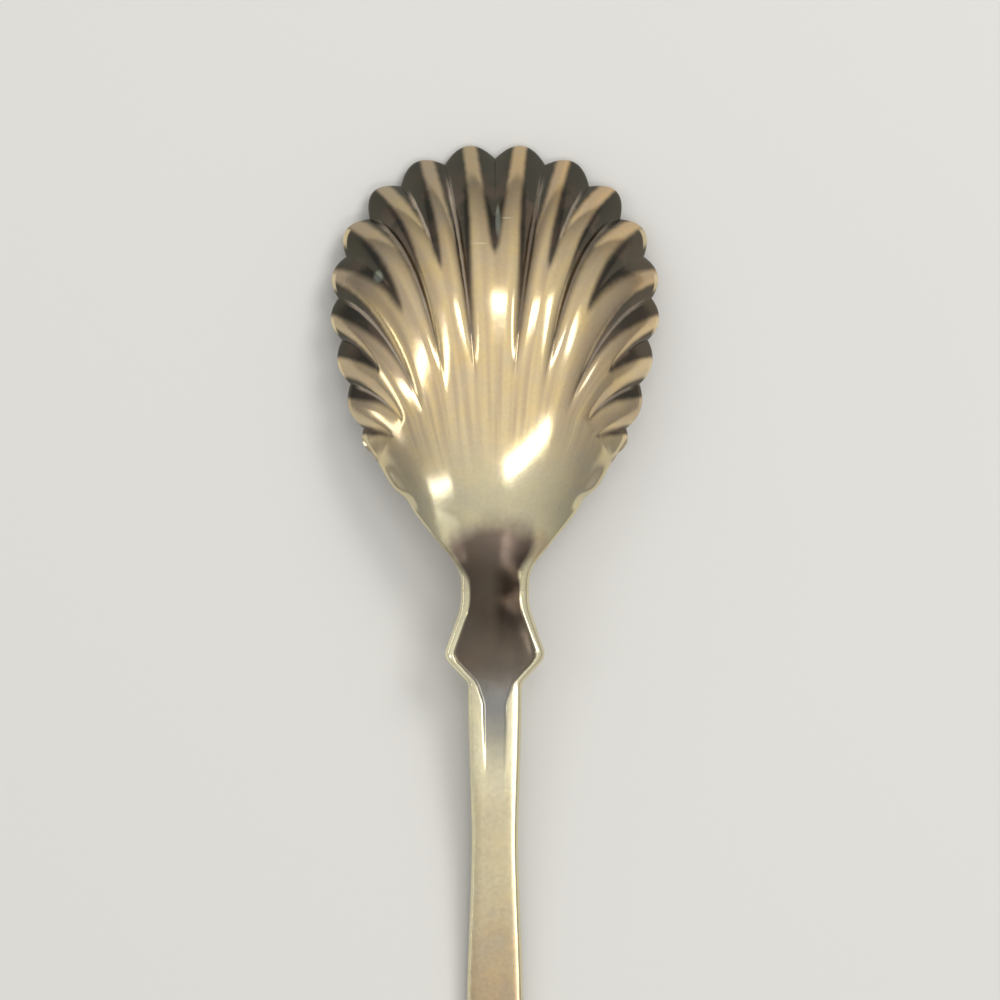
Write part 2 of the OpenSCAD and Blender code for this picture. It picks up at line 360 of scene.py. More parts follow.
    def sink(self, q: float, v: float) -> float:
        """How far the flutes lie under the smooth dome: each finger is an arch, split by its fork.

        Args:
            q: Place among the lobes, counted from the middle line.
            v: Way along the flutes, from 0 at their roots to 1 at the rim.

        Returns:
            The depth, in millimetres.
        """
        k = min(len(self.lobe_shares) - 1, 2 * int((q + 1) / 2))
        out = 1 - self.bed(1 - min(1.0, abs(q - k))) / self.bed(1.0)
        deep = v**self.groove_power
        split = clamp01(self.fork_way(q, v)) ** self.fork_power
        share = deep * out**2 + split * (1 - out) ** 2 + 2 * deep * split * out * (1 - out)
        bow = 4 * v * (1 - v) * min(1.0, len(self.lobe_shares) - q)
        return self.dome(*self.rim_point(q)) * share + self.finger_round * bow * out**2

    def handle_half(self, t: float) -> float:
        """Half width of the neck and the handle at t.

        Args:
            t: Distance from the tip of the bowl, in millimetres.

        Returns:
            The half width, in millimetres.
        """
        if t < self.neck_end:
            u = (t - self.bowl_len) / self.neck_len
            start, top, end = self.shoulder_shares
            corner = self.shoulder_w / 2 * self.shoulder_reach
            flank = mix(self.waist_w / 2, corner, (u - start) / (top - start))
            drop = mix(corner, self.stem_w / 2, (u - top) / (end - top))
            flank = -smooth_min(-flank, -self.waist_w / 2, self.neck_blend)
            drop = -smooth_min(-drop, -self.stem_w / 2, self.neck_blend)
            return smooth_min(flank, drop, self.shoulder_blend)
        if t < self.stem_end:
            s = (t - self.neck_end) / self.stem_len
            narrowed = mix(self.stem_w, self.stem_waist_w, ease(s / self.narrow_share))
            widened = ease((s - self.widen_share) / (1 - self.widen_share))
            return mix(narrowed, self.end_start_w, widened) / 2
        round_from = self.spoon_len - self.end_round_len
        flared = ease((t - self.stem_end) / (round_from - self.stem_end))
        flare = mix(self.end_start_w, self.end_w, flared) / 2
        if t < round_from:
            return flare
        return flare * math.sqrt(1 - (self.end_round_share * (t - round_from) / self.end_round_len) ** 2)

    def by_stretch(self, t: float, at_waist: float, at_stem: float, at_end: float) -> float:
        """A size that changes softly from the waist to the stem and on to the handle's end.

        Args:
            t: Distance from the tip of the bowl, in millimetres.
            at_waist: The size where the bowl meets the neck.
            at_stem: The size of the stem.
            at_end: The size of the handle's end.

        Returns:
            The size at t.
        """
        if t < self.neck_end:
            return mix(at_waist, at_stem, ease((t - self.bowl_len) / self.neck_len))
        return mix(at_stem, at_end, ease((t - self.stem_end) / (self.end_len * self.end_change_share)))

    def panel_border(self, t: float) -> float:
        """Width of the bright border between the panel and the side edge.

        Args:
            t: Distance from the tip of the bowl, in millimetres.

        Returns:
            The width, in millimetres.
        """
        if t <= self.bowl_len:
            start, length = self.waist_widening
            return mix(self.bowl_border, self.neck_border, ease((t - start) / length))
        start, length = self.stem_widening
        return mix(self.neck_border, self.stem_border, ease((t - start) / length))

    def panel_half(self, t: float) -> float:
        """Half width of the toned panel, which runs on as a tongue on the stem.

        Args:
            t: Distance from the tip of the bowl, in millimetres.

        Returns:
            The half width, in millimetres.
        """
        if t <= self.bowl_len:
            half = self.bowl_half(t) - self.panel_border(t)
            return smooth_min(half, self.panel_most_half, self.panel_blend)
        return self.handle_half(t) - self.panel_border(t)

    def panel_depth(self, x: float, t: float) -> float:
        """Depth of the sunk panel, which grows from the waist and ends with the tongue.

        Args:
            x: Place across the spoon from its middle line, in millimetres.
            t: Distance from the tip of the bowl, in millimetres.

        Returns:
            The depth, in millimetres.
        """
        fade = ease((t - self.bowl_len) / (self.neck_len * self.sink_share))
        fade *= ease((self.tongue_end - t) / self.tongue_fade)
        return self.panel_sink * fade * ease((self.panel_half(t) - abs(x)) / self.panel_side + 0.5)


@dataclass(frozen=True)
class Shell:
    """A closed sheet of metal between a back and an underside that share their columns and rows."""

    name: str
    columns: int
    rows: int
    place: Callable[[int, int, bool], Point]
    marks: Callable[[int, int, bool], dict[str, Point]]
    crease: float = 50.0

    def made(self) -> bpy.types.Object:
        """Lays a grid, extrudes it to a closed slab and moves its points to their places.

        Returns:
            The finished mesh object, at the origin and smooth except at its creases.
        """
        bpy.ops.object.select_all(action="DESELECT")
        bpy.ops.mesh.primitive_grid_add(x_subdivisions=self.columns, y_subdivisions=self.rows, size=1)
        piece = bpy.context.object
        piece.name = piece.data.name = self.name
        bpy.ops.object.mode_set(mode="EDIT")
        bpy.ops.mesh.select_all(action="SELECT")
        bpy.ops.mesh.extrude_region_move(TRANSFORM_OT_translate={"value": (0, 0, 1)})
        bpy.ops.object.mode_set(mode="OBJECT")
        self.shape(piece.data)
        bpy.ops.object.mode_set(mode="EDIT")
        bpy.ops.mesh.select_all(action="SELECT")
        bpy.ops.mesh.normals_make_consistent(inside=False)
        bpy.ops.object.mode_set(mode="OBJECT")
        bpy.ops.object.shade_smooth_by_angle(angle=math.radians(self.crease))
        return piece

    def shape(self, mesh: bpy.types.Mesh) -> None:
        """Gives each point of the slab its place and its marks.

        Args:
            mesh: The slab, whose lower sheet becomes the underside and whose upper one becomes the back.
        """
        places: list[float] = []
        marks: dict[str, list[float]] = {}
        for vertex in mesh.vertices:
            column = round((vertex.co.x + 0.5) * self.columns)
            row = round((vertex.co.y + 0.5) * self.rows)
            back = vertex.co.z > 0.5
            places.extend(self.place(column, row, back))
            for key, value in self.marks(column, row, back).items():
                marks.setdefault(key, []).extend(value)
        mesh.vertices.foreach_set("co", places)
        for key, values in marks.items():
            mesh.attributes.new(key, "FLOAT_VECTOR", "POINT").data.foreach_set("vector", values)
        mesh.update()


def rounding(inset: float, reach: float) -> float:
    """Height that a rounded edge loses at a distance from the side.

    Args:
        inset: Distance from the side edge, in millimetres.
        reach: Radius of the rounded edge, in millimetres.

    Returns:
        The height, in millimetres.
    """
    if inset >= reach:
        return 0.0
    return reach * (1 - math.sqrt(max(0.0, 1 - ((reach - inset) / reach) ** 2)))


@dataclass(frozen=True)
class Bowl:
    """The fluted bowl: a dome with forked fingers between grooves, and a smooth heel."""

    form: SpoonForm
    lobe_steps: int = 14
    heel_rows: int = 54
    flute_rows: int = 46
    round_rows: int = 5
    rim_round: float = 0.26
    waist_round: float = 0.45
    probe: float = 0.05
    last_crowding: float = 1.6
    waist_round_from: float = 40.0
    edge_power: int = 4
    far_inside: float = 10.0

    @property
    def lobes(self) -> int:
        """Lobes on each side of the middle line."""
        return len(self.form.lobe_shares)

    @property
    def columns(self) -> int:
        """Columns of the mesh."""
        return 2 * self.lobes * self.lobe_steps

    def lobe_place(self, column: int) -> tuple[float, float]:
        """The lobe coordinate q of a column, and the side that it is on.

        Args:
            column: Column of the mesh, from the left edge to the right edge.

        Returns:
            q, and the side as -1 on the left or 1 on the right.
        """
        q = abs(column - self.columns / 2) / self.lobe_steps
        last = self.lobes - 1
        if q > last:
            q = last + 1 - (1 - (q - last)) ** self.last_crowding
        return q, math.copysign(1.0, column - self.columns / 2)

    def way(self, row: int, q: float) -> float:
        """How far a row has come from the roots of the flutes to the rim.

        Args:
            row: Row of the mesh, from the waist to the rim.
            q: Place among the lobes, counted from the middle line.

        Returns:
            v, from 0 at the roots to 1 at the rim.
        """
        crisp = self.rim_round / self.form.rim_speed(q)
        k = row - self.heel_rows
        if k <= self.flute_rows:
            return max(0.0, k / self.flute_rows * (1 - crisp))
        angle = math.pi / 2 * (k - self.flute_rows) / self.round_rows
        return 1 - crisp * (1 - math.sin(angle))

    def plan(self, column: int, row: int) -> tuple[float, float, float, float]:
        """Where a point of the mesh lies in the plan.

        Args:
            column: Column of the mesh, from the left edge to the right edge.
            row: Row of the mesh, from the waist to the rim.

        Returns:
            x and t, the lobe coordinate q, and the way v along the flutes.
        """
        q, side = self.lobe_place(column)
        if row < self.heel_rows:
            x, t = self.form.heel_point(q, row / self.heel_rows)
            return side * x, t, q, 0.0
        v = self.way(row, q)
        x, t = self.form.flute_point(q, v)
        return side * x, t, q, v

    def inset(self, x: float, t: float, q: float, v: float) -> float:
        """Distance from the nearest edge of the bowl.

        Args:
            x: Place across the spoon from its middle line, in millimetres.
            t: Distance from the tip of the bowl, in millimetres.
            q: Place among the lobes, counted from the middle line.
            v: Way along the flutes, from 0 at their roots to 1 at the rim.

        Returns:
            The distance, in millimetres.
        """
        near_side = v == 0 or q > self.lobes - 1
        side = self.form.bowl_half(t) - abs(x) if near_side else self.far_inside
        return max(0.0, min(side, (1 - v) * self.form.rim_speed(q)))

    def height(self, x: float, t: float, q: float, v: float) -> float:
        """Height of the back above the table, before its edge is rounded."""
        form = self.form
        return form.lie(t) + form.bowl_edge(t) + form.dome(x, t) - form.sink(q, v)

    def place(self, column: int, row: int, back: bool) -> Point:
        """The place of a point of the mesh, in metres.

        Args:
            column: Column of the mesh, from the left edge to the right edge.
            row: Row of the mesh, from the waist to the rim.
            back: Whether the point is on the back, and not on the underside.

        Returns:
            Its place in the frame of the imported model.
        """
        x, t, q, v = self.plan(column, row)
        form, top = self.form, self.height(x, t, q, v)
        if back:
            way = (t - self.waist_round_from) / (form.bowl_len - self.waist_round_from)
            reach = mix(self.rim_round, self.waist_round, ease(way))
            z = top - rounding(self.inset(x, t, q, v), reach)
            return x * MM, (form.spoon_len / 2 - t) * MM, z * MM
        side = math.copysign(1.0, x) if x else 0.0
        gx = (form.dome(abs(x) + self.probe, t) - form.dome(abs(x) - self.probe, t)) / (2 * self.probe) * side
        gt = (form.dome(x, t + self.probe) - form.dome(x, t - self.probe)) / (2 * self.probe)
        slant = math.sqrt(1 + gx * gx + gt * gt)
        heel = ease(1 - (form.bowl_len - t) / form.neck_len)
        share = 1.0 if q >= self.lobes else v
        edge = form.bowl_edge(t)
        depth = mix(form.bowl_wall / slant, edge, share**self.edge_power)
        across = abs(x) / max(abs(x), form.bowl_half(t))
        section = edge + (form.neck_crown - form.waist_hollow) * (1 - across**form.dome_power)
        shift = form.bowl_wall / slant * (1 - heel)
        z = top - mix(depth, section, heel)
        return (x + gx * shift) * MM, (form.spoon_len / 2 - t - gt * shift) * MM, z * MM

    def marks(self, column: int, row: int, back: bool) -> dict[str, Point]:
        """What the finish reads at a point: its place among the flutes, and its distance inside the panel.

        Args:
            column: Column of the mesh, from the left edge to the right edge.
            row: Row of the mesh, from the waist to the rim.
            back: Whether the point is on the back, and not on the underside.

        Returns:
            The three values of each mark, by the mark's name.
        """
        x, t, q, v = self.plan(column, row)
        return {
            "flutes": (q, v, self.form.fork_way(q, v)),
            "panel": (self.form.panel_half(t) - abs(x), 0.0, float(back)),
        }

    def made(self) -> bpy.types.Object:
        """The bowl's mesh."""
        rows = self.heel_rows + self.flute_rows + self.round_rows
        return Shell("fluted_bowl", self.columns, rows, self.place, self.marks).made()


@dataclass(frozen=True)
class Stretch:
    """A stretch of the neck or the handle, drawn through sections across it."""

    form: SpoonForm
    name: str
    places: tuple[float, ...]
    edge_round: float = 0.45
    round_steps: int = 6
    border_steps: int = 8
    inner_steps: int = 8
    lips: tuple[float, ...] = (-0.14, -0.05, 0.05, 0.14)
    inner_room: float = 0.7

    @property
    def half_columns(self) -> int:
        """Columns from the middle line to one edge."""
        return self.round_steps + self.border_steps + len(self.lips) + self.inner_steps

    def insets(self, t: float) -> list[float]:
        """Distances from the side edge of the columns of one half, from the edge to the middle.

        Args:
            t: Distance from the tip of the bowl, in millimetres.

        Returns:
            The distances, in millimetres.
        """
        half = self.form.handle_half(t)
        border = self.form.panel_border(t)
        turns = [math.pi / 2 * i / self.round_steps for i in range(self.round_steps)]
        steps = [self.edge_round * (1 - math.cos(turn)) for turn in turns]
        first_lip = border + self.lips[0]
        steps += [mix(self.edge_round, first_lip, i / self.border_steps) for i in range(self.border_steps)]
        steps += [border + lip for lip in self.lips]
        scale = min(1.0, half / (border + self.inner_room))
        steps = [step * scale for step in steps]
        start, inner = steps[-1], self.inner_steps + 1
        return steps + [mix(start, half, (i + 1) / inner) for i in range(inner)]

    def plan(self, column: int, row: int) -> tuple[float, float, float]:
        """x, t and the distance from the side edge of a point of the mesh.

        Args:
            column: Column of the mesh, from the left edge to the right edge.
            row: Row of the mesh, from the end of the stretch that is far from the bowl.

        Returns:
            x, t and the inset, in millimetres.
        """
        t = self.places[len(self.places) - 1 - row]
        along = column - self.half_columns
        inset = self.insets(t)[self.half_columns - abs(along)]
        return math.copysign(self.form.handle_half(t) - inset, along) if along else 0.0, t, inset

    def height(self, x: float, t: float) -> float:
        """Height of the back over the underside, before the panel is sunk and the edge is rounded.

        Args:
            x: Place across the spoon from its middle line, in millimetres.
            t: Distance from the tip of the bowl, in millimetres.

        Returns:
            The height, in millimetres.
        """
        form = self.form
        edge = form.by_stretch(t, form.neck_edge, form.stem_edge, form.end_edge)
        crown = form.by_stretch(t, form.neck_crown, form.stem_crown, form.end_crown)
        power = form.by_stretch(t, form.dome_power, form.stem_power, form.stem_power)
        return edge + crown * (1 - min(1.0, abs(x) / form.handle_half(t)) ** power)

    def place(self, column: int, row: int, back: bool) -> Point:
        """The place of a point of the mesh, in metres.

        Args:
            column: Column of the mesh, from the left edge to the right edge.
            row: Row of the mesh, from the end of the stretch that is far from the bowl.
            back: Whether the point is on the back, and not on the underside.

        Returns:
            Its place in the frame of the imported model.
        """
        form = self.form
        x, t, inset = self.plan(column, row)
        z = form.lie(t)
        if back:
            reach = min(self.edge_round, form.handle_half(t) / 2)
            z += self.height(x, t) - form.panel_depth(x, t) - rounding(inset, reach)
        else:
            hollow = form.waist_hollow * (1 - ease((t - form.bowl_len) / form.neck_len))
            z += hollow * (1 - min(1.0, abs(x) / form.handle_half(t)) ** form.dome_power)
        return x * MM, (form.spoon_len / 2 - t) * MM, z * MM

    def marks(self, column: int, row: int, back: bool) -> dict[str, Point]:
        """What the finish reads at a point: its distance inside the panel and from the edge."""
        x, t, inset = self.plan(column, row)
        return {"panel": (self.form.panel_half(t) - abs(x), inset, float(back))}

    def made(self) -> bpy.types.Object:
        """The stretch's mesh."""
        return Shell(self.name, 2 * self.half_columns, len(self.places) - 1, self.place, self.marks).made()


def evenly(start: float, end: float, rows: int) -> tuple[float, ...]:
    """Places from start to end, both included."""
    return tuple(mix(start, end, i / rows) for i in range(rows + 1))


def end_places(form: SpoonForm) -> tuple[float, ...]:
    """Places along the end of the handle: denser on its round tip, and at both ends of its resting flat.

    Args:
        form: The sizes of the spoon.

    Returns:
        Values of t in growing order, in millimetres.
    """
    round_from = form.spoon_len - form.end_round_len
    rest_at = form.spoon_len - form.rest_back
    flat = (rest_at - form.rest_len / 2, rest_at + form.rest_len / 2)
    turns = [math.pi / 2 * i / TIP_ROWS for i in range(1, TIP_ROWS + 1)]
    tip = tuple(round_from + form.end_round_len * math.sin(turn) for turn in turns)
    return tuple(sorted({*evenly(form.stem_end, round_from, FLARE_ROWS), *flat, *tip}))


def tint(red: int, green: int, blue: int) -> tuple[float, float, float, float]:
    """A colour as it looks on screen, from 0 to 255, in the linear values that undo the sRGB curve.

    Args:
        red: How red it is.
        green: How green it is.
        blue: How blue it is.

    Returns:
        Linear red, green and blue, and 1 for opaque.
    """

    def linear(value: int) -> float:
        """One part of the colour in linear light."""
        share = value / 255
        return share / 12.92 if share <= 0.04045 else ((share + 0.055) / 1.055) ** 2.4

    return linear(red), linear(green), linear(blue), 1.0


class Silver(Enum):
    """The tones of the silver: its wear and tarnish, with painted shade, painted reflections and painted
    highlights among them.
    """

    GOLD = tint(236, 211, 162)
    # RIM_LEFT and RIM_RIGHT: painted shade on the fingers near the rim, darker on the left than on the right.
    RIM_LEFT = tint(180, 165, 136)
    RIM_RIGHT = tint(220, 190, 146)
    # RIM_LINE: painted highlight on the rim's edge, and on the rims of the side lobes.
    RIM_LINE = tint(240, 222, 184)
    CREAM = tint(216, 206, 172)
    ROSE = tint(178, 158, 138)
    # GROOVE, FLANK and FLANK_BROWN: painted dark reflections and shade on the flanks between the fingers,
    # with some brown tarnish.
    GROOVE = tint(118, 104, 88)
    FLANK = tint(78, 75, 66)
    FLANK_BROWN = tint(106, 91, 80)
    # Painted bluish glint.
    PAINTED_BLUE_GLINT = tint(190, 198, 180)
    # Painted shade that dims a highlight on the heel.
    PAINTED_SHADE_CREAM = tint(164, 158, 128)
    SCRATCH = tint(246, 230, 188)
    ORANGE = tint(192, 154, 108)
    # Painted highlight along the valleys, made less metallic.
    PALE_LINE = tint(178, 164, 146)
    # The panel's tones are painted dark reflections and shade, partly tarnish; PANEL_DEEP is the darkest
    # painted shade.
    PANEL_TOP = tint(138, 122, 110)
    PANEL = tint(84, 74, 64)
    PANEL_DEEP = tint(38, 30, 24)
    PANEL_LOW = tint(110, 100, 88)
    TONGUE = tint(132, 131, 127)
    FACET = tint(224, 215, 182)
    # BORDER: bright edges that are partly wear and partly painted highlight, and a painted highlight on the
    # left of the neck.
    BORDER = tint(244, 236, 198)
    STEM = tint(198, 186, 154)
    STEM_LOW = tint(180, 160, 130)


class Cloud(Enum):
    """The random patterns of the finish, each as its scale per metre and its detail."""

    HEEL = (160, 2)
    DRIFT = (220, 2)
    WISPS = (260, 4)
    BROWNING = (300, 2)
    MOTTLE = (330, 3)
    WAVES = (350, 3)
    LINES = (500, 3)
    DULLNESS = (700, 4)
    WORN_EDGE_AND_SHEEN = (900, 2)
    RAGGED = (900, 3)
    GRAIN = (2600, 2)


class Span(Enum):
    """Where each soft step of the finish begins and ends, in the measure that it is laid over."""

    # Over q, in lobes from the middle line.
    LEAN_RISE = (0.0, 1.5)
    LEAN_FALL = (3.4, 4.6)
    LEAN_BACK = (4.6, 6.0)
    SIDE_FADE = (5.4, 8.2)
    SIDE_LINE = (4.5, 6.5)
    FOOT_PALE = (7.0, 8.4)
    HOOK_FROM = (2.9, 3.1)
    HOOK_TO = (6.9, 7.1)
    # Over the distance from a valley, or past a notch, in lobes.
    GROOVE_LINE_SIDE = (0.02, 0.08)
    FORK_LINE_SIDE = (0.02, 0.07)
    HOOK_RISE = (0.4, 0.5)
    HOOK_FALL = (0.74, 0.9)
    # Over v, from the roots of the flutes to the rim.
    GROOVE_START = (0.0, 0.2)
    GROOVE_WIDEN = (0.1, 0.85)
    GROOVE_LINE_START = (0.12, 0.35)
    LEAN_START = (0.2, 0.7)
    FLANK_DEEPEN = (0.3, 0.72)
    RIM_START = (0.5, 0.95)
    FORK_LINE_START = (0.55, 0.68)
    BROWN_STOP = (0.72, 0.97)
    GROOVE_LINE_STOP = (0.8, 0.95)
    FORK_LINE_STOP = (0.84, 0.94)
    HOOK_EDGE = (0.962, 0.974)
    # Over the way along a fork, from its tip to the rim.
    FORK_START = (-0.16, -0.02)
    # Over x across the spoon, in millimetres.
    RIM_ACROSS = (-8.0, 12.0)
    FACET_LEFT = (-4.0, -2.5)
    LINES_RIGHT = (-3.0, 3.0)
    PANEL_RIGHT = (-0.6, 1.2)
    FLANK_RIGHT = (12.0, 18.0)
    # Over t along the spoon, in millimetres.
    CREAM_START = (28.0, 42.0)
    ROSE_STOP = (30.0, 40.0)
    PANEL_START = (41.8, 45.6)
    PANEL_DEEPEN = (42.0, 50.0)
    WAIST = (48.5, 51.4)
    PANEL_PALE = (53.0, 60.0)
    FACET_START = (54.0, 58.0)
    TONGUE_START = (59.5, 65.0)
    STEM_DULL = (62.0, 72.0)
    TONGUE_STOP = (65.0, 76.0)
    GRAIN_MORE = (66.0, 76.0)
    STEM_START = (70.0, 78.0)
    BROWN_START = (82.0, 100.0)
    BROWN_BACK = (104.0, 124.0)
    # Over the distance from the side edge, in millimetres.
    EDGE_WEAR_AND_SHEEN = (0.15, 0.65)
    # Over a random pattern, an oval's way out, or a distance over its softness.
    STREAK = (-0.16, 0.18)
    BROWN_CLOUD = (-0.03, 0.1)
    SPOT = (0.0, 1.6)
    DULL_OVAL = (0.3, 1.7)
    CENTRED = (-0.5, 0.5)


Number = Union[float, "Wire"]


def math_node(operation: str) -> Callable[..., "Wire"]:
    """A method of Wire that puts its value, and the others that it is given, through a Math node.

    Args:
        operation: The operation of the node.

    Returns:
        The method.
    """

    def method(self: "Wire", *others: Number) -> "Wire":
        """The node's output."""
        return self.recipe.math(operation, self, *others)

    return method


@dataclass(frozen=True)
class Wire:
    """One output in a recipe for a finish, so that shader sums read as sums."""

    recipe: "Recipe"
    socket: bpy.types.NodeSocket

    __add__ = __radd__ = math_node("ADD")
    __sub__ = math_node("SUBTRACT")
    __mul__ = __rmul__ = math_node("MULTIPLY")
    __truediv__ = math_node("DIVIDE")
    __pow__ = math_node("POWER")
    size = math_node("ABSOLUTE")
    sign = math_node("SIGN")
    fraction = math_node("FRACT")
    most = math_node("MAXIMUM")
    least = math_node("MINIMUM")
    fold = math_node("PINGPONG")

    def __rsub__(self, other: float) -> "Wire":
        """The number less this value."""
        return self.recipe.math("SUBTRACT", other, self)

    def over(self, span: Span) -> "Wire":
        """A soft step from 0 to 1 while this value goes over a span.

        Args:
            span: Where the step begins and ends.

        Returns:
            The step.
        """
        settings = {"interpolation_type": "SMOOTHSTEP", "clamp": True}
        inputs = {"Value": self, "From Min": span.value[0], "From Max": span.value[1]}
        return self.recipe.node("MapRange", settings, inputs, "Result")


class Recipe:
    """The node tree of one finish, or of the surround."""

    CLOUD_ROUGHNESS = 0.55
    STREAK_DETAIL = 1.2
    NOISE_MIDDLE = 0.5
    MIX_SHARE, MIX_BELOW, MIX_ABOVE, MIX_COLOR = 0, 6, 7, 2

    def __init__(self, owner: Union[bpy.types.Material, bpy.types.World]) -> None:
        """Starts an empty recipe.

        Args:
            owner: The material or the world that it is for.
        """
        self.owner = owner
        self.owner.use_nodes = True
        self.tree = self.owner.node_tree
        self.tree.nodes.clear()

    def add(self, kind: str, settings: dict[str, Any], inputs: dict[Any, Any]) -> bpy.types.Node:
        """Adds one node.

        Args:
            kind: Its type, without the prefix that all shader nodes share.
            settings: What is set before its sockets, such as its operation or a ramp's stops.
            inputs: Values, tones or wires, by the name or number of their socket.

        Returns:
            The node.
        """
        made = self.tree.nodes.new("ShaderNode" + kind)
        for key, value in settings.items():
            if key == "stops":
                for stop, (position, color) in zip(made.color_ramp.elements, value):
                    stop.position, stop.color = position, color
            else:
                setattr(made, key, value)
        for key, value in inputs.items():
            if isinstance(value, Wire):
                self.tree.links.new(value.socket, made.inputs[key])
            else:
                made.inputs[key].default_value = value.value if isinstance(value, Silver) else value
        return made

    def node(self, kind: str, settings: dict[str, Any], inputs: dict[Any, Any], output: Any = 0) -> Wire:
        """The wire that leaves a new node by the output that is named or numbered."""
        return Wire(self, self.add(kind, settings, inputs).outputs[output])

    def math(self, operation: str, *values: Number) -> Wire:
        """A Math node on the values."""
        return self.node("Math", {"operation": operation}, dict(enumerate(values)))

    def mark(self, name: str) -> tuple[Wire, Wire, Wire]:
        """The three values of a mark that the mesh carries at each point."""
        return self.split(self.node("Attribute", {"attribute_name": name}, {}, "Vector"))

    def split(self, vector: Wire) -> tuple[Wire, Wire, Wire]:
        """The three parts of a vector."""
        outputs = self.add("SeparateXYZ", {}, {"Vector": vector}).outputs
        return Wire(self, outputs[0]), Wire(self, outputs[1]), Wire(self, outputs[2])

    def here(self) -> Wire:
        """The place on the object, in metres."""
        return self.node("TexCoord", {}, {}, "Object")

    def cloud(self, pattern: Cloud) -> Wire:
        """A soft random pattern around zero, from about -0.5 to 0.5.

        Args:
            pattern: Which of the patterns.

        Returns:
            The pattern.
        """
        scale, detail = pattern.value
        inputs = {"Vector": self.here(), "Scale": scale, "Detail": detail, "Roughness": self.CLOUD_ROUGHNESS}
        return self.node("TexNoise", {}, inputs, "Fac") - self.NOISE_MIDDLE

    def streaks(self, across: Wire, along: Wire) -> Wire:
        """A soft random pattern around zero that is drawn out along the flutes.

        Args:
            across: Place across the flutes.
            along: Place along the flutes.

        Returns:
            The pattern.
        """
        place = self.node("CombineXYZ", {}, {0: across, 1: along})
        inputs = {"Vector": place, "Scale": 1.0, "Detail": self.STREAK_DETAIL}
        return self.node("TexNoise", {}, inputs, "Fac") - self.NOISE_MIDDLE

    def blend(self, share: Wire, below: Union[Wire, Silver], above: Union[Wire, Silver]) -> Wire:
        """Colour that goes from below to above as the share goes from 0 to 1."""
        inputs = {self.MIX_SHARE: share, self.MIX_BELOW: below, self.MIX_ABOVE: above}
        return self.node("Mix", {"data_type": "RGBA"}, inputs, self.MIX_COLOR)

    def finish(self, color: Any, inputs: dict[str, Any]) -> bpy.types.Material:
        """Ends the recipe in a metal or painted surface.

        Args:
            color: The surface's own colour.
            inputs: The other sockets of the surface.

        Returns:
            The material.
        """
        surface = self.node("BsdfPrincipled", {}, {"Base Color": color, **inputs})
        self.add("OutputMaterial", {}, {"Surface": surface})
        return self.owner


@dataclass(frozen=True)
class Oval:
    """A soft oval at x across the spoon and t along it, in millimetres."""

    x: float
    t: float
    half_width: float
    half_length: float

    def way(self, x: Wire, t: Wire) -> Wire:
        """Squared way out from the oval's middle, which is 1 on the oval."""
        across, along = (x - self.x) / self.half_width, (t - self.t) / self.half_length
        return across.size() ** 2 + along.size() ** 2


@dataclass(frozen=True)
class Spot:
    """A soft spot of another tone."""

    oval: Oval
    tone: Silver
    share: float


